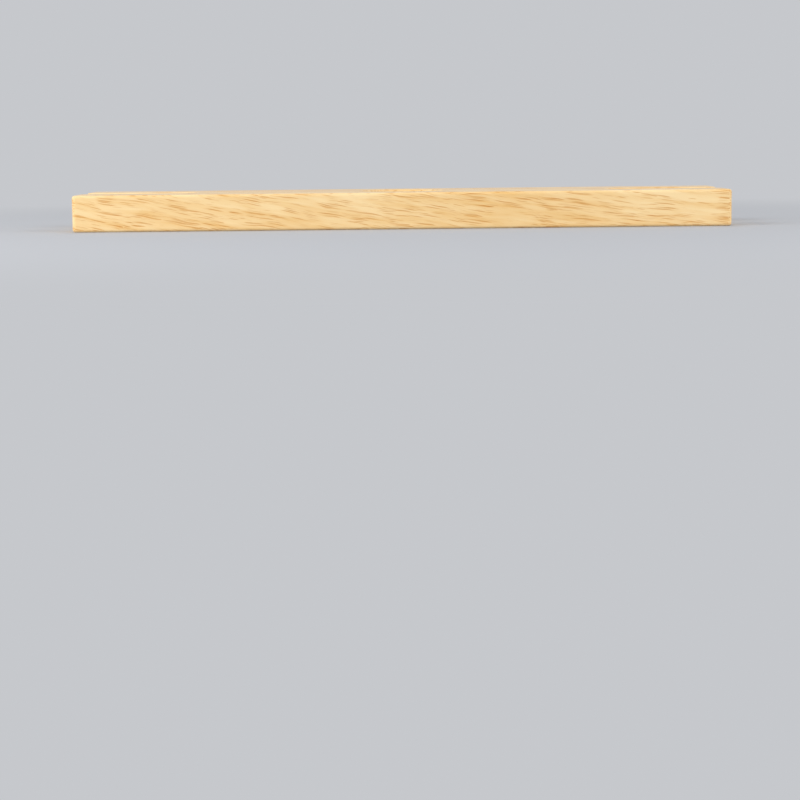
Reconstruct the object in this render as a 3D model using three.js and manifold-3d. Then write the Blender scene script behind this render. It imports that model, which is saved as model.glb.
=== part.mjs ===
// A holder bar of pale hardwood: three staves glued edge to edge into a plank, which is bored
// through its middle, slotted in from both ends, and rounded over on every edge.
// The bore is wider than the middle stave, so that stave is left as two separate pieces.
//
// Millimetres, +Z up. X runs along the bar and Y across it, and the front face looks along -Y.
// The origin is the centre of the underside.

import * as THREE from 'three';
import { mergeVertices } from 'three/addons/utils/BufferGeometryUtils.js';
import Module from 'manifold-3d';

const wasm = await Module();
wasm.setup();

// Driving dimensions: the plank, and the bore in its middle with the wood left beside it
const BAR_THICKNESS = 15;
const NECK_BORE_DIAMETER = 35;
const WALL_BESIDE_BORE = 15;

// Slots, open at the bar's ends and measured from the centres of their round inner ends
const STEM_SPACING = 188;
const STEM_TO_BAR_END = 41;
const STEM_SLOT_WIDTH = 15;

// Round-over along every top and bottom edge, bore and slots included
const EDGE_ROUND_OVER = 1.2;

// Corner radii of the flat top face: the upright corners are larger by the round-over
const TOP_CORNER_RADIUS = 0.8;
const TOP_SLOT_MOUTH_RADIUS = 2.8;

// Staves: the outer two share the width that the middle one leaves
const MIDDLE_STAVE_WIDTH = 24;

// Facets: how far a chord may lie from its true arc, and the steps across a round-over
const CHORD_ERROR = 0.02;
const ROUND_OVER_STEPS = 4;

// How far a stave's cutting block reaches past the bar on its outer sides
const BLOCK_MARGIN = 10;

// Sizes that follow from the driving ones
const barEndX = STEM_SPACING / 2 + STEM_TO_BAR_END;
const barBackY = NECK_BORE_DIAMETER / 2 + WALL_BESIDE_BORE;
const slotWallY = STEM_SLOT_WIDTH / 2;
const gluePlaneY = MIDDLE_STAVE_WIDTH / 2;

const QUARTER_TURN = Math.PI / 2;
const FULL_TURN = 2 * Math.PI;

// Points along an arc, with as many steps as the chord error asks for
function arcPoints(centreX, centreY, radius, startAngle, endAngle) {
  const stepAngle = 2 * Math.acos(1 - CHORD_ERROR / radius);
  const steps = Math.ceil(Math.abs(endAngle - startAngle) / stepAngle);
  const points = [];
  for (let step = 0; step <= steps; step += 1) {
    const angle = startAngle + ((endAngle - startAngle) * step) / steps;
    const x = centreX + radius * Math.cos(angle);
    const y = centreY + radius * Math.sin(angle);
    points.push(new THREE.Vector2(x, y));
  }
  return points;
}

// Outline of the right end, from the front face round both prongs and the slot to the back face
function rightEndPoints() {
  const cornerRadius = TOP_CORNER_RADIUS + EDGE_ROUND_OVER;
  const cornerX = barEndX - cornerRadius;
  const cornerY = barBackY - cornerRadius;
  const mouthRadius = TOP_SLOT_MOUTH_RADIUS + EDGE_ROUND_OVER;
  const mouthX = barEndX - mouthRadius;
  const mouthY = slotWallY + mouthRadius;
  return [
    ...arcPoints(cornerX, -cornerY, cornerRadius, -QUARTER_TURN, 0),
    ...arcPoints(mouthX, -mouthY, mouthRadius, 0, QUARTER_TURN),
    ...arcPoints(STEM_SPACING / 2, 0, slotWallY, -QUARTER_TURN, -3 * QUARTER_TURN),
    ...arcPoints(mouthX, mouthY, mouthRadius, -QUARTER_TURN, 0),
    ...arcPoints(cornerX, cornerY, cornerRadius, 0, QUARTER_TURN),
  ];
}

// Plan of the whole bar: the left end is the right end turned by half a turn
function barPlan() {
  const rightEnd = rightEndPoints();
  const leftEnd = rightEnd.map((point) => point.clone().negate());
  const plan = new THREE.Shape([...rightEnd, ...leftEnd]);
  const borePoints = arcPoints(0, 0, NECK_BORE_DIAMETER / 2, 0, FULL_TURN);
  borePoints.pop();
  plan.holes.push(new THREE.Path(borePoints));
  return plan;
}

// The bar as one blank: the plan at full size between its round-overs, drawn in at top and bottom
function barGeometry() {
  const geometry = new THREE.ExtrudeGeometry(barPlan(), {
    depth: BAR_THICKNESS - 2 * EDGE_ROUND_OVER,
    bevelEnabled: true,
    bevelThickness: EDGE_ROUND_OVER,
    bevelSize: EDGE_ROUND_OVER,
    bevelOffset: -EDGE_ROUND_OVER,
    bevelSegments: ROUND_OVER_STEPS,
  });
  return geometry.translate(0, 0, EDGE_ROUND_OVER);
}

// A block between two X and two Y planes, taller than the bar
function blockGeometry(lowX, highX, lowY, highY) {
  const height = BAR_THICKNESS + 2 * BLOCK_MARGIN;
  const geometry = new THREE.BoxGeometry(highX - lowX, highY - lowY, height);
  return geometry.translate((lowX + highX) / 2, (lowY + highY) / 2, BAR_THICKNESS / 2);
}

// A closed geometry as a solid that can be cut
function solidFrom(geometry) {
  geometry.deleteAttribute('normal');
  geometry.deleteAttribute('uv');
  const merged = mergeVertices(geometry);
  const vertProperties = new Float32Array(merged.attributes.position.array);
  const triVerts = new Uint32Array(merged.index.array);
  return new wasm.Manifold(new wasm.Mesh({ numProp: 3, vertProperties, triVerts }));
}

// A named mesh of a solid, in the colour of its stave
function staveMesh(name, solid, color) {
  const { vertProperties, triVerts } = solid.getMesh();
  const geometry = new THREE.BufferGeometry();
  geometry.setAttribute('position', new THREE.BufferAttribute(vertProperties, 3));
  geometry.setIndex(new THREE.BufferAttribute(triVerts, 1));
  geometry.computeVertexNormals();
  const material = new THREE.MeshStandardMaterial({ color, roughness: 0.4, metalness: 0 });
  const mesh = new THREE.Mesh(geometry, material);
  mesh.name = name;
  return mesh;
}

// The staves: each is what its block takes from the blank, and neighbours meet on a glue plane
const outerX = barEndX + BLOCK_MARGIN;
const outerY = barBackY + BLOCK_MARGIN;
const staves = [
  { name: 'front_stave', block: [-outerX, outerX, -outerY, -gluePlaneY], color: 0xf2d09a },
  { name: 'middle_stave_left', block: [-outerX, 0, -gluePlaneY, gluePlaneY], color: 0xecc68c },
  { name: 'middle_stave_right', block: [0, outerX, -gluePlaneY, gluePlaneY], color: 0xecc68c },
  { name: 'back_stave', block: [-outerX, outerX, gluePlaneY, outerY], color: 0xefcb93 },
];

const blank = solidFrom(barGeometry());
const holderBar = new THREE.Group();
holderBar.name = 'holder_bar';
for (const { name, block, color } of staves) {
  const solid = blank.intersect(solidFrom(blockGeometry(...block)));
  holderBar.add(staveMesh(name, solid, color));
}

export default holderBar;
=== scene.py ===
# %% [markdown]
# # A holder bar of glued rubberwood staves
#
# The object is one flat bar of pale wood, with a round bore through its middle and an open slot in
# each end. It is glued up from three staves, and the bore cuts the middle one in two, so the bar is
# four pieces of wood. This lesson dresses those four pieces: it makes their planed and rounded
# surfaces, gives each stave its own grain, and lights them.

# %% Load the frame
import math

import bpy
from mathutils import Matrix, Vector


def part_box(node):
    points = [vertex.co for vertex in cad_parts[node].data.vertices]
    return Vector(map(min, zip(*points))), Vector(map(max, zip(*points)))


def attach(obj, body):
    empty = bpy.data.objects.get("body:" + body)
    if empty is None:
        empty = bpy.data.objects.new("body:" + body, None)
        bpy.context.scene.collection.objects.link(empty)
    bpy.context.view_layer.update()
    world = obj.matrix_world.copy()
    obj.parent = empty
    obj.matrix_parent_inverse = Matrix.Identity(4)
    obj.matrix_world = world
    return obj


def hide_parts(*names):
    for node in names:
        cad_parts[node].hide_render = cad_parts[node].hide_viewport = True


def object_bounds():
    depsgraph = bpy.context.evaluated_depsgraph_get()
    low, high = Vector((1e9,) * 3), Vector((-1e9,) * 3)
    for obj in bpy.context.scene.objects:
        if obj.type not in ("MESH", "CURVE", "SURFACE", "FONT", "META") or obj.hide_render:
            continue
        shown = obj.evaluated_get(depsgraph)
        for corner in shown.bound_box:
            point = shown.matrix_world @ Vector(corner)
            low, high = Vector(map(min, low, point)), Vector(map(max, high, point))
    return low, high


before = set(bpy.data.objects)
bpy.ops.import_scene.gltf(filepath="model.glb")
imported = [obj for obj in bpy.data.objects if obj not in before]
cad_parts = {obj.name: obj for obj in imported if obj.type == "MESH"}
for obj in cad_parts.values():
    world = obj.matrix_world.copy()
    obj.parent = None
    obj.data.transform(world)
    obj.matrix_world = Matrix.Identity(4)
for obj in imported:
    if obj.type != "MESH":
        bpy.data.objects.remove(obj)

cad_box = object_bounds()
print("nodes in the frame:", sorted(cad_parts))

# %% [markdown]
# ## Sizes
#
# The frame already holds the pieces at their real size, so most sizes are read from it and not
# typed again. The bar's own box gives its length, width and thickness. The front stave ends where
# it is glued, and the middle stave's inner corners lie on the bore, so a right triangle gives the
# bore's radius. Only sizes that no box shows are written here. Everything is in metres.

# %% Read the bar's sizes from the frame
bar_low = Vector(cad_box[0])
bar_high = Vector(cad_box[1])
THICKNESS = bar_high.z - bar_low.z
HALF_LENGTH = (bar_high.x - bar_low.x) / 2
HALF_WIDTH = (bar_high.y - bar_low.y) / 2
GLUE_PLANE = -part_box("front_stave")[1].y
BORE_RADIUS = math.hypot(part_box("middle_stave_right")[0].x, GLUE_PLANE)

SLOT_FROM_MIDDLE = 0.094
SLOT_HALF_WIDTH = 0.0075
ROUND_OVER = 0.0012
CORNER_RADIUS = 0.0020
MOUTH_RADIUS = 0.0040
print(f"bar {2 * HALF_LENGTH:.3f} x {2 * HALF_WIDTH:.3f} x {THICKNESS:.3f} m")
print(f"bore radius {BORE_RADIUS:.4f} m, glue planes at {GLUE_PLANE:.4f} m")

# %% [markdown]
# ## The plan and the edge profile
#
# A joiner saws the bar's outline, bores it, and then runs a small round-over cutter along every
# edge. The same two shapes describe it here: a plan, which is the outline and the bore seen from
# above, and an edge profile, which is the wall's section with a quarter round at top and bottom.
# Sweeping the profile along the plan gives a true round-over everywhere, slots and bore included,
# which a Bevel modifier would only give on a mesh without long thin faces.
#
# The profile runs a little way onto the flat faces before it stops. These narrow strips hold the
# smooth shading at the edge, so that the flats stay flat.

# %% Points of the plan
PLAN_STEP = math.radians(2)
ROUNDING_SLACK = 0.001
QUARTER = math.pi / 2


def arc(centre_x, centre_y, radius, start, end, step_angle=PLAN_STEP):
    """Points along an arc, about one for each step angle."""
    steps = math.ceil(abs(end - start) / step_angle - ROUNDING_SLACK)
    angles = [start + (end - start) * step / steps for step in range(steps + 1)]
    return [(centre_x + radius * math.cos(a), centre_y + radius * math.sin(a)) for a in angles]


def right_end():
    """Outline of the right end, from the front face round both prongs to the back face."""
    corner_x = HALF_LENGTH - CORNER_RADIUS
    corner_y = HALF_WIDTH - CORNER_RADIUS
    mouth_x = HALF_LENGTH - MOUTH_RADIUS
    mouth_y = SLOT_HALF_WIDTH + MOUTH_RADIUS
    return (
        arc(corner_x, -corner_y, CORNER_RADIUS, -QUARTER, 0)
        + arc(mouth_x, -mouth_y, MOUTH_RADIUS, 0, QUARTER)
        + arc(SLOT_FROM_MIDDLE, 0, SLOT_HALF_WIDTH, -QUARTER, -3 * QUARTER)
        + arc(mouth_x, mouth_y, MOUTH_RADIUS, -QUARTER, 0)
        + arc(corner_x, corner_y, CORNER_RADIUS, 0, QUARTER)
    )


outline = right_end() + [(-x, -y) for x, y in right_end()]
bore = arc(0, 0, BORE_RADIUS, 0, -4 * QUARTER)[:-1]
print(f"plan: {len(outline)} outline points, {len(bore)} bore points")

# %% Points of the edge profile
PROFILE_STEP = math.radians(10)
HOLD = 0.0003
FLAT_LEAD = ROUND_OVER + HOLD


def edge_profile():
    """The wall's section from the top flat to the underside. The sweep points Y down."""
    top_y = -THICKNESS
    top_round = arc(-ROUND_OVER, top_y + ROUND_OVER, ROUND_OVER, -QUARTER, 0, PROFILE_STEP)
    low_round = arc(-ROUND_OVER, -ROUND_OVER, ROUND_OVER, 0, QUARTER, PROFILE_STEP)
    upper = [(-FLAT_LEAD, top_y)] + top_round + [(0, top_y + FLAT_LEAD)]
    lower = [(0, -FLAT_LEAD)] + low_round + [(-FLAT_LEAD, 0)]
    return upper + lower


profile = edge_profile()
print(f"edge profile: {len(profile)} points")

# %% Turn the point lists into curves


def poly_curve(name, closed, *loops):
    """A curve object with one straight-sided spline for each list of points."""
    data = bpy.data.curves.new(name, "CURVE")
    data.dimensions = "3D"
    data.twist_mode = "Z_UP"
    for points in loops:
        spline = data.splines.new("POLY")
        spline.points.add(len(points) - 1)
        for point, (x, y) in zip(spline.points, points):
            point.co = (x, y, 0, 1)
        spline.use_cyclic_u = closed
    curve = bpy.data.objects.new(name, data)
    bpy.context.scene.collection.objects.link(curve)
    print(f"{name}: {len(data.splines)} splines")
    return curve


plan_curve = poly_curve("plan_curve", True, outline, bore)
profile_curve = poly_curve("edge_profile_curve", False, profile)

# %% [markdown]
# ## One tree for all four pieces of wood
#
# All the staves follow one rule: sweep the edge profile along the plan, close it with two flat
# faces, and keep what lies inside the stave's own block. Copies of a plank with a Boolean modifier
# each would do, but then the rule would be spread over four objects. A Geometry Nodes tree states
# it once, and each stave's modifier gives it that stave's block and finish. The cut faces on the
# glue planes stay sharp, as they are on glued wood, because the cut comes after the round-over.

# %% Helpers for node trees


def add_node(tree, kind, **settings):
    """A node of one kind, with its properties set by name."""
    made = tree.nodes.new(kind)
    for key, value in settings.items():
        setattr(made, key, value)
    return made


def wire(tree, source, target):
    """Joins an output to an input, or sets the input when the source is a plain value."""
    if isinstance(source, bpy.types.NodeSocket):
        tree.links.new(source, target)
    else:
        target.default_value = source


def maths(tree, operation, *values):
    """The result of a maths node, with its inputs joined or set in order."""
    made = add_node(tree, "ShaderNodeMath", operation=operation)
    for socket, value in zip(made.inputs, values):
        wire(tree, value, socket)
    return made.outputs[0]


def combine(tree, x, y, z):
    """Three numbers as one vector."""
    made = add_node(tree, "ShaderNodeCombineXYZ")
    for socket, value in zip(made.inputs, (x, y, z)):
        wire(tree, value, socket)
    return made.outputs[0]


def mix(tree, kind, amount, first, second):
    """Mixes two values of one kind. The node has inputs for every kind, so it is asked for its own."""
    made = add_node(tree, "ShaderNodeMix", data_type=kind)
    inputs = [socket for socket in made.inputs if socket.enabled]
    for socket, value in zip(inputs, (amount, first, second)):
        wire(tree, value, socket)
    return next(socket for socket in made.outputs if socket.enabled)


# %% The skin of the plank
WELD = 0.000002


def bring_in(tree, socket):
    """The geometry of an object that comes in through a named input."""
    info = add_node(tree, "GeometryNodeObjectInfo")
    wire(tree, socket, info.inputs["Object"])
    return info.outputs["Geometry"]


def sweep_wall(tree, plan, edge):
    """The wall and its round-overs: the edge profile carried along the plan."""
    sweep = add_node(tree, "GeometryNodeCurveToMesh")
    wire(tree, plan, sweep.inputs["Curve"])
    wire(tree, edge, sweep.inputs["Profile Curve"])
    return sweep.outputs[0]


def fill_flats(tree, plan, inset, thickness):
    """The top and the underside: the plan drawn in by the inset and filled, twice."""
    inward = add_node(tree, "ShaderNodeVectorMath", operation="SCALE")
    wire(tree, add_node(tree, "GeometryNodeInputNormal").outputs["Normal"], inward.inputs[0])
    wire(tree, maths(tree, "MULTIPLY", inset, -1.0), inward.inputs["Scale"])
    drawn_in = add_node(tree, "GeometryNodeSetPosition")
    wire(tree, plan, drawn_in.inputs["Geometry"])
    wire(tree, inward.outputs[0], drawn_in.inputs["Offset"])
    flat = add_node(tree, "GeometryNodeFillCurve", mode="TRIANGLES")
    wire(tree, drawn_in.outputs[0], flat.inputs["Curve"])
    top = add_node(tree, "GeometryNodeTransform")
    wire(tree, flat.outputs[0], top.inputs["Geometry"])
    wire(tree, combine(tree, 0.0, 0.0, thickness), top.inputs["Translation"])
    underside = add_node(tree, "GeometryNodeFlipFaces")
    wire(tree, flat.outputs[0], underside.inputs[0])
    return top.outputs[0], underside.outputs[0]


def weld(tree, *parts):
    """Joins the parts of the skin into one closed mesh."""
    joined = add_node(tree, "GeometryNodeJoinGeometry")
    for part in parts:
        wire(tree, part, joined.inputs[0])
    merged = add_node(tree, "GeometryNodeMergeByDistance")
    wire(tree, joined.outputs[0], merged.inputs["Geometry"])
    wire(tree, WELD, merged.inputs["Distance"])
    return merged.outputs[0]


# %% Cut one stave out of the plank


def keep_inside(tree, plank, low, high):
    """The part of the plank inside a block that is given by two corners."""
    span = add_node(tree, "ShaderNodeVectorMath", operation="SUBTRACT")
    wire(tree, high, span.inputs[0])
    wire(tree, low, span.inputs[1])
    block = add_node(tree, "GeometryNodeMeshCube")
    wire(tree, span.outputs[0], block.inputs["Size"])
    placed = add_node(tree, "GeometryNodeTransform")
    wire(tree, block.outputs["Mesh"], placed.inputs["Geometry"])
    wire(tree, mix(tree, "VECTOR", 0.5, low, high), placed.inputs["Translation"])
    cut = add_node(tree, "GeometryNodeMeshBoolean", operation="INTERSECT", solver="EXACT")
    wire(tree, plank, cut.inputs[1])
    wire(tree, placed.outputs[0], cut.inputs[1])
    return cut.outputs["Mesh"]


# %% Put the stave tree together
STAVE_INPUTS = (
    ("Plan", "NodeSocketObject"),
    ("Edge Profile", "NodeSocketObject"),
    ("Thickness", "NodeSocketFloat"),
    ("Flat Inset", "NodeSocketFloat"),
    ("Block Low", "NodeSocketVector"),
    ("Block High", "NodeSocketVector"),
    ("Finish", "NodeSocketMaterial"),
)


def build_stave_tree(tree):
    """Plan and profile in, one stave out. Returns each input's identifier by its name."""
    identifiers = {}
    for label, kind in STAVE_INPUTS:
        socket = tree.interface.new_socket(label, in_out="INPUT", socket_type=kind)
        identifiers[label] = socket.identifier
    tree.interface.new_socket("Stave", in_out="OUTPUT", socket_type="NodeSocketGeometry")
    given = add_node(tree, "NodeGroupInput").outputs
    plan = bring_in(tree, given["Plan"])
    wall = sweep_wall(tree, plan, bring_in(tree, given["Edge Profile"]))
    flats = fill_flats(tree, plan, given["Flat Inset"], given["Thickness"])
    plank = weld(tree, wall, *flats)
    stave = keep_inside(tree, plank, given["Block Low"], given["Block High"])
    real = add_node(tree, "GeometryNodeRealizeInstances")
    wire(tree, stave, real.inputs[0])
    finished = add_node(tree, "GeometryNodeSetMaterial")
    wire(tree, real.outputs[0], finished.inputs["Geometry"])
    wire(tree, given["Finish"], finished.inputs["Material"])
    wire(tree, finished.outputs[0], add_node(tree, "NodeGroupOutput").inputs[0])
    return identifiers


stave_tree = bpy.data.node_groups.new("stave_from_plan", "GeometryNodeTree")
stave_tree.is_modifier = True
stave_inputs = build_stave_tree(stave_tree)
print(f"stave tree: {len(stave_tree.nodes)} nodes, inputs {', '.join(stave_inputs)}")

# %% [markdown]
# ## Rubberwood and the run of its grain
#
# Rubberwood is pale honey in colour, with short brown flecks where a cut opens its pores, and a
# few broader tan streaks. A flat picture of planks would stop at each corner. Here the wood is a
# solid pattern that fills the bar, and each surface shows the slice that it cuts, so a side and an
# end meet at the corner as they do on real wood.
#
# Such a pattern needs the grain's own directions: along it, across it and up. The flecks on the
# real bar slope down to the right and lie flatter towards that end, so the grain here has a slope
# and a bend, and two soft noises make it wander and ripple.

# %% Helpers for the wood's patterns


def fade(tree, value, start, end):
    """0 at start, 1 at end, smooth between them."""
    made = add_node(tree, "ShaderNodeMapRange", interpolation_type="SMOOTHSTEP")
    wire(tree, value, made.inputs["Value"])
    wire(tree, start, made.inputs["From Min"])
    wire(tree, end, made.inputs["From Max"])
    return made.outputs["Result"]


def between(tree, share, low, high):
    """Runs from low to high as a share runs from 0 to 1."""
    return maths(tree, "MULTIPLY_ADD", share, high - low, low)


def add_share(tree, total, amount, weight):
    """A total with a weighted amount added to it."""
    return maths(tree, "MULTIPLY_ADD", amount, weight, total)


def split(tree, vector):
    """The three parts of a vector."""
    made = add_node(tree, "ShaderNodeSeparateXYZ")
    wire(tree, vector, made.inputs[0])
    return made.outputs


def texture_place(tree, kind):
    """The three parts of one kind of texture coordinate."""
    return split(tree, add_node(tree, "ShaderNodeTexCoord").outputs[kind])


def stretched(tree, grain, length, width):
    """The place in the grain, counted in steps of a length along it and a width across it."""
    along, across, up = grain
    return combine(
        tree,
        maths(tree, "DIVIDE", along, length),
        maths(tree, "DIVIDE", across, width),
        maths(tree, "DIVIDE", up, width),
    )


def patches(tree, grain, step, detail):
    """The outputs of a soft noise whose patches are about as long and as wide as the step."""
    made = add_node(tree, "ShaderNodeTexNoise")
    wire(tree, stretched(tree, grain, *step), made.inputs["Vector"])
    wire(tree, 1.0, made.inputs["Scale"])
    wire(tree, detail, made.inputs["Detail"])
    return made.outputs


# %% The run of the grain
WANDER_STEP = (0.030, 0.012)
WANDER_REACH = 0.0032
RIPPLE_STEP = (0.007, 0.004)
RIPPLE_REACH = 0.0007


def sway(tree, grain, step, reach):
    """Moves the grain up by a soft noise and sideways by half as much, and leaves its length alone."""
    along, across, up = grain
    waves = split(tree, patches(tree, grain, step, detail=1.0)["Color"])
    side = add_share(tree, across, waves[0], reach / 2)
    rise = add_share(tree, up, waves[1], reach)
    return along, side, rise


def grain_run(tree, slope, bend, lean, board):
    """Object coordinates turned to follow the grain: along it, across it and up."""
    x, y, z = texture_place(tree, "Object")
    climb = maths(tree, "MULTIPLY", x, add_share(tree, slope, x, bend))
    straight = (
        maths(tree, "ADD", x, board),
        add_share(tree, y, x, lean),
        maths(tree, "ADD", z, climb),
    )
    swaying = sway(tree, straight, WANDER_STEP, WANDER_REACH)
    return sway(tree, swaying, RIPPLE_STEP, RIPPLE_REACH)


# %% Where the cut faces along the bar
END_GRAIN_FROM = 0.75


def end_share(tree):
    """1 on end grain and 0 on long grain, by how far the surface faces along the bar."""
    facing = texture_place(tree, "Normal")[0]
    return fade(tree, maths(tree, "ABSOLUTE", facing), END_GRAIN_FROM, 1.0)


# %% [markdown]
# ## Pores
#
# A pore is a fine tube along the grain. A cut along the grain opens it as a short brown fleck, and
# a cut across shows it as a dot. Modelled tubes would need far too many faces, and a stretched
# noise gives smears that never end. Voronoi cells that are stretched along the grain hold one pore
# each, with a width of its own and a darker end, and all of it is still a solid pattern.

# %% Pores in long cells
LONG_PORE = (0.015, 0.00052)
LONG_WIDEST = 0.58
FINE_PORE = (0.008, 0.00042)
FINE_WIDEST = 0.48
THINNEST = 0.35
TRAIL_MIDDLE = 0.8
TRAIL_PULL = 2.0
CORE_REACH = 0.55
RIM_REACH = 1.7


def pore_cells(tree, grain, step, widest, crowd):
    """One long pore in each cell: how far a place is from it, its radius, and its dark core."""
    place = stretched(tree, grain, *step)
    cell = add_node(tree, "ShaderNodeTexVoronoi", feature="F1", voronoi_dimensions="3D")
    wire(tree, place, cell.inputs["Vector"])
    wire(tree, 1.0, cell.inputs["Scale"])
    lot = split(tree, cell.outputs["Color"])
    share = between(tree, lot[0], THINNEST, 1.0)
    radius = maths(tree, "MULTIPLY", maths(tree, "MULTIPLY", share, widest), crowd)
    from_middle = add_node(tree, "ShaderNodeVectorMath", operation="SUBTRACT")
    wire(tree, place, from_middle.inputs[0])
    wire(tree, cell.outputs["Position"], from_middle.inputs[1])
    lengthwise = split(tree, from_middle.outputs[0])[0]
    trail = add_share(tree, TRAIL_MIDDLE, lengthwise, between(tree, lot[1], -TRAIL_PULL, TRAIL_PULL))
    away = cell.outputs["Distance"]
    core = fade(tree, away, radius, maths(tree, "MULTIPLY", radius, CORE_REACH))
    return away, radius, maths(tree, "MULTIPLY", core, trail)


def pore_rim(tree, away, radius):
    """The stain round a pore: 1 in its middle and 0 a little way outside it."""
    return fade(tree, away, maths(tree, "MULTIPLY", radius, RIM_REACH), 0.0)


# %% Long and fine pores together
CROWD_STEP = (0.018, 0.0030)
CROWD_FADE = (0.31, 0.5)
FINE_LEAST = 0.5
OPEN_ON_ENDS = 0.75
LONG_STRENGTH = 0.59
FINE_STRENGTH = 0.29


def pores(tree, grain, end):
    """Both sizes of pore: their depth of colour, the stain round the long ones, and their crowding."""
    crowd = fade(tree, patches(tree, grain, CROWD_STEP, detail=1.0)["Fac"], *CROWD_FADE)
    fine_crowd = between(tree, crowd, FINE_LEAST, 1.0)
    open_cut = between(tree, end, 1.0, OPEN_ON_ENDS)
    long_size = maths(tree, "MULTIPLY", crowd, open_cut)
    fine_size = maths(tree, "MULTIPLY", fine_crowd, open_cut)
    away, radius, long_core = pore_cells(tree, grain, LONG_PORE, LONG_WIDEST, long_size)
    fine_core = pore_cells(tree, grain, FINE_PORE, FINE_WIDEST, fine_size)[2]
    depth = maths(tree, "MULTIPLY", long_core, LONG_STRENGTH)
    depth = add_share(tree, depth, fine_core, FINE_STRENGTH)
    return depth, pore_rim(tree, away, radius), crowd


# %% [markdown]
# ## Growth rings and tone
#
# Between its pores the wood runs from cream to tan. On the real bar that tone drifts slowly along
# the length, with mottling and fine fibres over it. One gradient would look painted, so patterns of
# several sizes add up to one depth of tone. Growth rings circle the tree's pith, which lies outside
# the bar. They are faint on long grain and plain on end grain. End grain also drinks the lacquer
# and turns darker, and a hairline of glue shows where two staves meet.

# %% Growth rings
RING_WIDTH = 0.0052
RING_WAVER_STEP = (0.05, 0.012)
RING_WAVER = 0.8
RING_DEEPENS_FROM = 0.35
RING_BREAKS_AT = 0.93


def growth_rings(tree, grain, pith_y, pith_z):
    """Rings round the tree's pith: each deepens slowly from 0 to 1 and then breaks off."""
    side = maths(tree, "SUBTRACT", grain[1], pith_y)
    rise = maths(tree, "SUBTRACT", grain[2], pith_z)
    squares = maths(tree, "MULTIPLY_ADD", side, side, maths(tree, "MULTIPLY", rise, rise))
    count = maths(tree, "DIVIDE", maths(tree, "SQRT", squares), RING_WIDTH)
    waver = patches(tree, grain, RING_WAVER_STEP, detail=1.0)["Fac"]
    phase = maths(tree, "FRACT", add_share(tree, count, waver, RING_WAVER))
    deepening = fade(tree, phase, RING_DEEPENS_FROM, RING_BREAKS_AT)
    return maths(tree, "SUBTRACT", deepening, fade(tree, phase, RING_BREAKS_AT, 1.0))


# %% Tone of the clear wood
CREAM = (0.957, 0.713, 0.378, 1)
TAN = (0.806, 0.456, 0.122, 1)
RINGS_ON_LONG_GRAIN = 0.14
RINGS_ON_END_GRAIN = 0.50
DRIFT_WEIGHT = 0.7
MOTTLE_WEIGHT = 0.75
FIBRE_WEIGHT = 0.2
CROWD_WEIGHT = 0.14
RIM_WEIGHT = 0.25
DRIFT_STEP = (0.085, 0.030)


def add_swing(tree, tone, waves, weight):
    """A tone that swings to both sides with a noise, which has its middle at 0.5."""
    return add_share(tree, tone, maths(tree, "SUBTRACT", waves, 0.5), weight)


def clear_wood(tree, grain, pith, depth, end, mottle, fibres, crowd, rim):
    """Cream to tan, by growth rings, drift, mottling, fibres and the stain where pores crowd."""
    rings = growth_rings(tree, grain, *pith)
    drift = patches(tree, grain, DRIFT_STEP, detail=0.0)["Fac"]
    tone = add_share(tree, depth, rings, between(tree, end, RINGS_ON_LONG_GRAIN, RINGS_ON_END_GRAIN))
    tone = add_swing(tree, tone, drift, DRIFT_WEIGHT)
    tone = add_swing(tree, tone, mottle, MOTTLE_WEIGHT)
    tone = add_swing(tree, tone, fibres, FIBRE_WEIGHT)
    tone = add_share(tree, tone, crowd, CROWD_WEIGHT)
    tone = add_share(tree, tone, rim, RIM_WEIGHT)
    return mix(tree, "RGBA", tone, CREAM, TAN)


# %% Darker ends and glue lines
END_GRAIN = (0.60, 0.335, 0.105, 1)
END_STRENGTH = 0.28
GLUE_LINE = (0.52, 0.29, 0.10, 1)
GLUE_STRENGTH = 0.55
GLUE_OUTER = 0.00016
GLUE_INNER = 0.00006


def darken_ends(tree, wood, end):
    """End grain drinks the lacquer and turns darker."""
    return mix(tree, "RGBA", maths(tree, "MULTIPLY", end, END_STRENGTH), wood, END_GRAIN)


def draw_glue_lines(tree, wood):
    """A hairline of glue along both planes where staves meet."""
    from_middle = maths(tree, "ABSOLUTE", texture_place(tree, "Object")[1])
    off_plane = maths(tree, "ABSOLUTE", maths(tree, "SUBTRACT", from_middle, GLUE_PLANE))
    line = fade(tree, off_plane, GLUE_OUTER, GLUE_INNER)
    return mix(tree, "RGBA", maths(tree, "MULTIPLY", line, GLUE_STRENGTH), wood, GLUE_LINE)


# %% [markdown]
# ## Lacquer
#
# The bar has a thin satin lacquer: a soft sheen, and pores that can still be felt. A second clear
# skin could carry the sheen, but the shader's own coat does the same without a second surface. Its
# values are the same all over, so they sit on the shader's sockets and not on nodes. Roughness
# follows the mottling, and a bump sinks the pores, which are much finer than the mesh.

# %% The whole finish
PORE_BROWN = (0.565, 0.19, 0.004, 1)
MOTTLE_STEP = (0.020, 0.0024)
FIBRE_STEP = (0.011, 0.00045)
SMOOTHEST = 0.36
ROUGHEST = 0.48
PORE_ROUGHNESS = 0.2
COAT_WEIGHT = 0.3
COAT_ROUGHNESS = 0.15
FIBRE_RELIEF = 0.15
RELIEF_STRENGTH = 0.3
RELIEF_DEPTH = 0.0002


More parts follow.
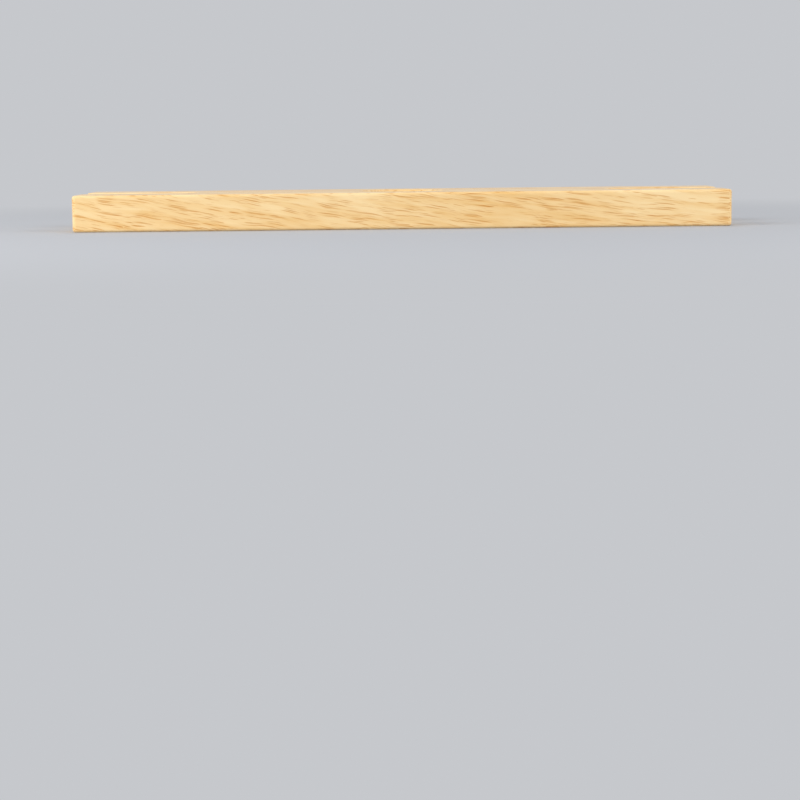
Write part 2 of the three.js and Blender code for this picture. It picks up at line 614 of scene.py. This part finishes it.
def lacquer(tree, shader, mottle, fibres, pore_depth):
    """Satin sheen that follows the mottling, with pores and fibres sunk into it."""
    gloss = between(tree, mottle, SMOOTHEST, ROUGHEST)
    wire(tree, add_share(tree, gloss, pore_depth, PORE_ROUGHNESS), shader.inputs["Roughness"])
    shader.inputs["Coat Weight"].default_value = COAT_WEIGHT
    shader.inputs["Coat Roughness"].default_value = COAT_ROUGHNESS
    relief = add_node(tree, "ShaderNodeBump", invert=True)
    wire(tree, RELIEF_STRENGTH, relief.inputs["Strength"])
    wire(tree, RELIEF_DEPTH, relief.inputs["Distance"])
    wire(tree, add_share(tree, pore_depth, fibres, FIBRE_RELIEF), relief.inputs["Height"])
    wire(tree, relief.outputs[0], shader.inputs["Normal"])


def rubberwood(name, slope, bend, lean, board, pith, depth):
    """Lacquered rubberwood with its own run of grain, place in the tree, pith and depth of tone."""
    material = bpy.data.materials.new(name)
    material.use_nodes = True
    tree = material.node_tree
    shader = tree.nodes["Principled BSDF"]
    grain = grain_run(tree, slope, bend, lean, board)
    end = end_share(tree)
    mottle = patches(tree, grain, MOTTLE_STEP, detail=2.0)["Fac"]
    fibres = patches(tree, grain, FIBRE_STEP, detail=2.0)["Fac"]
    pore_depth, rim, crowd = pores(tree, grain, end)
    wood = clear_wood(tree, grain, pith, depth, end, mottle, fibres, crowd, rim)
    wood = mix(tree, "RGBA", pore_depth, darken_ends(tree, wood, end), PORE_BROWN)
    wire(tree, draw_glue_lines(tree, wood), shader.inputs["Base Color"])
    lacquer(tree, shader, mottle, fibres, pore_depth)
    print(f"{name}: {len(tree.nodes)} nodes")
    return material


# %% Wood for the three staves
front_wood = rubberwood(
    "front_rubberwood",
    slope=0.152, bend=-0.12, lean=0.02, board=5.547, pith=(-0.008, -0.055), depth=0.12,
)
middle_wood = rubberwood(
    "middle_rubberwood",
    slope=0.03, bend=0.12, lean=-0.03, board=1.31, pith=(0.03, -0.035), depth=0.17,
)
back_wood = rubberwood(
    "back_rubberwood",
    slope=-0.05, bend=0.1, lean=0.05, board=2.67, pith=(-0.02, 0.075), depth=0.11,
)

# %% [markdown]
# ## The four staves
#
# Each stave is made by the same tree with its own block. The two middle pieces were one stave
# before the bore was cut, so they share one wood. A live modifier could stay on each, but the
# result becomes a plain mesh, so that nothing depends on the tree any more, and it takes the place
# of the solid of the same stave.

# %% Make and place the staves
REACH = 0.01
SMOOTH_BELOW = math.radians(25)
far_x = HALF_LENGTH + REACH
far_y = HALF_WIDTH + REACH
low_z = -REACH
high_z = THICKNESS + REACH
STAVES = (
    ("front_stave", "front_stave_wood", front_wood, (-far_x, -far_y), (far_x, -GLUE_PLANE)),
    ("middle_stave_left", "middle_stave_wood", middle_wood, (-far_x, -GLUE_PLANE), (0, GLUE_PLANE)),
    ("middle_stave_right", "middle_stave_wood", middle_wood, (0, -GLUE_PLANE), (far_x, GLUE_PLANE)),
    ("back_stave", "back_stave_wood", back_wood, (-far_x, GLUE_PLANE), (far_x, far_y)),
)


def dressed_stave(node, finish, low, high):
    """One stave as a plain mesh object, cut by its block."""
    host = bpy.data.objects.new("host", bpy.data.meshes.new("host"))
    bpy.context.scene.collection.objects.link(host)
    modifier = host.modifiers.new("stave", "NODES")
    modifier.node_group = stave_tree
    sizes = {
        "Plan": plan_curve,
        "Edge Profile": profile_curve,
        "Thickness": THICKNESS,
        "Flat Inset": FLAT_LEAD,
        "Block Low": (*low, low_z),
        "Block High": (*high, high_z),
        "Finish": finish,
    }
    for label, value in sizes.items():
        modifier[stave_inputs[label]] = value
    graph = bpy.context.evaluated_depsgraph_get()
    mesh = bpy.data.meshes.new_from_object(host.evaluated_get(graph), depsgraph=graph)
    bpy.data.objects.remove(host)
    mesh.shade_smooth()
    mesh.set_sharp_from_angle(angle=SMOOTH_BELOW)
    stave = bpy.data.objects.new("dressed_" + node, mesh)
    bpy.context.scene.collection.objects.link(stave)
    return stave


for node, slot, finish, low, high in STAVES:
    stave = dressed_stave(node, finish, low, high)
    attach(stave, "root")
    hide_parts(node)
    print(f"{stave.name}: {len(stave.data.polygons)} faces")

for helper in (plan_curve, profile_curve):
    bpy.data.objects.remove(helper)

# %% [markdown]
# ## Floor and backdrop
#
# The bar lies on a plain pale floor. A studio would roll out curved paper, so that no horizon
# shows. Here the floor is flat, and away from the bar its paint fades into an even glow that only
# the camera and reflections see. Near the bar the paint is plain, so it keeps the shadow, and the
# rays that light the bar meet plain paint everywhere.

# %% Lay the floor
BACKDROP = (0.565, 0.578, 0.605, 1)
FLOOR_GREY = (0.50, 0.51, 0.537, 1)
FLOOR_ROUGHNESS = 0.9
FLOOR_HALF = 20.0
FADE_FROM = 0.15
FADE_TO = 0.42
floor_mesh = bpy.data.meshes.new("floor")
floor_corners = [(-FLOOR_HALF, -FLOOR_HALF, 0), (FLOOR_HALF, -FLOOR_HALF, 0)]
floor_corners += [(FLOOR_HALF, FLOOR_HALF, 0), (-FLOOR_HALF, FLOOR_HALF, 0)]
floor_mesh.from_pydata(floor_corners, [], [(0, 1, 2, 3)])
floor = bpy.data.objects.new("floor", floor_mesh)
bpy.context.scene.collection.objects.link(floor)


def seen(tree):
    """1 for a ray from the camera or off a glossy surface, 0 for the rays that light the object."""
    path = add_node(tree, "ShaderNodeLightPath").outputs
    shiny = maths(tree, "MAXIMUM", path["Is Glossy Ray"], path["Is Transmission Ray"])
    return maths(tree, "MAXIMUM", path["Is Camera Ray"], shiny)


def paint_floor(tree):
    """Matt paint that fades into the backdrop's glow with the distance from the bar."""
    paint = tree.nodes["Principled BSDF"]
    paint.inputs["Base Color"].default_value = FLOOR_GREY
    paint.inputs["Roughness"].default_value = FLOOR_ROUGHNESS
    glow = add_node(tree, "ShaderNodeEmission")
    wire(tree, BACKDROP, glow.inputs["Color"])
    distance = add_node(tree, "ShaderNodeVectorMath", operation="LENGTH")
    wire(tree, add_node(tree, "ShaderNodeTexCoord").outputs["Object"], distance.inputs[0])
    far_off = fade(tree, distance.outputs["Value"], FADE_FROM, FADE_TO)
    blend = add_node(tree, "ShaderNodeMixShader")
    wire(tree, maths(tree, "MULTIPLY", far_off, seen(tree)), blend.inputs[0])
    wire(tree, paint.outputs[0], blend.inputs[1])
    wire(tree, glow.outputs[0], blend.inputs[2])
    wire(tree, blend.outputs[0], tree.nodes["Material Output"].inputs["Surface"])


floor_paint = bpy.data.materials.new("floor_paint")
floor_paint.use_nodes = True
paint_floor(floor_paint.node_tree)
floor_mesh.materials.append(floor_paint)
print(f"floor: fades into the backdrop {FADE_FROM:.2f} to {FADE_TO:.2f} m from the bar's middle")

# %% [markdown]
# ## Light
#
# Two broad soft lamps stand in front of the bar to the left and right, which leaves its ends a
# little brighter than its middle. A weaker one stands behind, and the world fills in the rest. The
# flat lacquered top would mirror a lamp as a white patch in a low view, so the lamps are hidden
# from reflections as well as from the camera, and the lacquer mirrors the plain backdrop.

# %% World
AMBIENT = (0.45, 0.46, 0.47, 1)
world = bpy.data.worlds.new("studio")
bpy.context.scene.world = world
world.use_nodes = True
sky = world.node_tree
wire(sky, mix(sky, "RGBA", seen(sky), AMBIENT, BACKDROP), sky.nodes["Background"].inputs["Color"])
print(f"world: {len(sky.nodes)} nodes")

# %% Lamps
LAMP_SIZE = 0.6
LAMPS = (
    ("left_softbox", (-0.62, -0.36, 0.30), (-0.08, 0, 0), 4.75),
    ("right_softbox", (0.62, -0.36, 0.30), (0.08, 0, 0), 3.25),
    ("back_softbox", (0, 0.7, 0.9), (0, 0, 0), 2.6),
)


def softbox(name, place, target, power):
    """A square area lamp that faces a target."""
    data = bpy.data.lights.new(name, "AREA")
    data.size = LAMP_SIZE
    data.energy = power
    lamp = bpy.data.objects.new(name, data)
    lamp.location = place
    lamp.rotation_euler = (Vector(target) - Vector(place)).to_track_quat("-Z", "Y").to_euler()
    lamp.visible_camera = False
    lamp.visible_glossy = False
    bpy.context.scene.collection.objects.link(lamp)
    print(f"{name}: {power} W")


for lamp_values in LAMPS:
    softbox(*lamp_values)

# %% [markdown]
# ## Camera
#
# The camera looks at the front face from just above the top, through a long lens from less than a
# metre away. Blender could aim it with a Track To constraint, but written angles keep the view as
# it is when something else in the scene moves. A slight roll lowers the bar's left end in the
# picture.

# %% Set up the camera
CAMERA_TO_FRONT = 0.850
CAMERA_ABOVE_TOP = 0.022
CAMERA_ASIDE = -0.0016
CAMERA_TILT_DOWN = math.radians(7.20)
CAMERA_ROLL = math.radians(-0.6)
CAMERA_LENS = 93.3
SENSOR_WIDTH = 36.0
NEAREST_SEEN = 0.01
lens = bpy.data.cameras.new("camera")
lens.lens = CAMERA_LENS
lens.sensor_width = SENSOR_WIDTH
lens.clip_start = NEAREST_SEEN
camera = bpy.data.objects.new("camera", lens)
camera.location = (CAMERA_ASIDE, -HALF_WIDTH - CAMERA_TO_FRONT, THICKNESS + CAMERA_ABOVE_TOP)
camera.rotation_mode = "ZXY"
camera.rotation_euler = (QUARTER - CAMERA_TILT_DOWN, 0, 0)
camera.rotation_euler.rotate_axis("Z", CAMERA_ROLL)
bpy.context.scene.collection.objects.link(camera)
bpy.context.scene.camera = camera
bpy.context.scene.view_settings.view_transform = "Standard"
print(f"camera: {CAMERA_LENS} mm lens, {CAMERA_TO_FRONT} m from the front face")
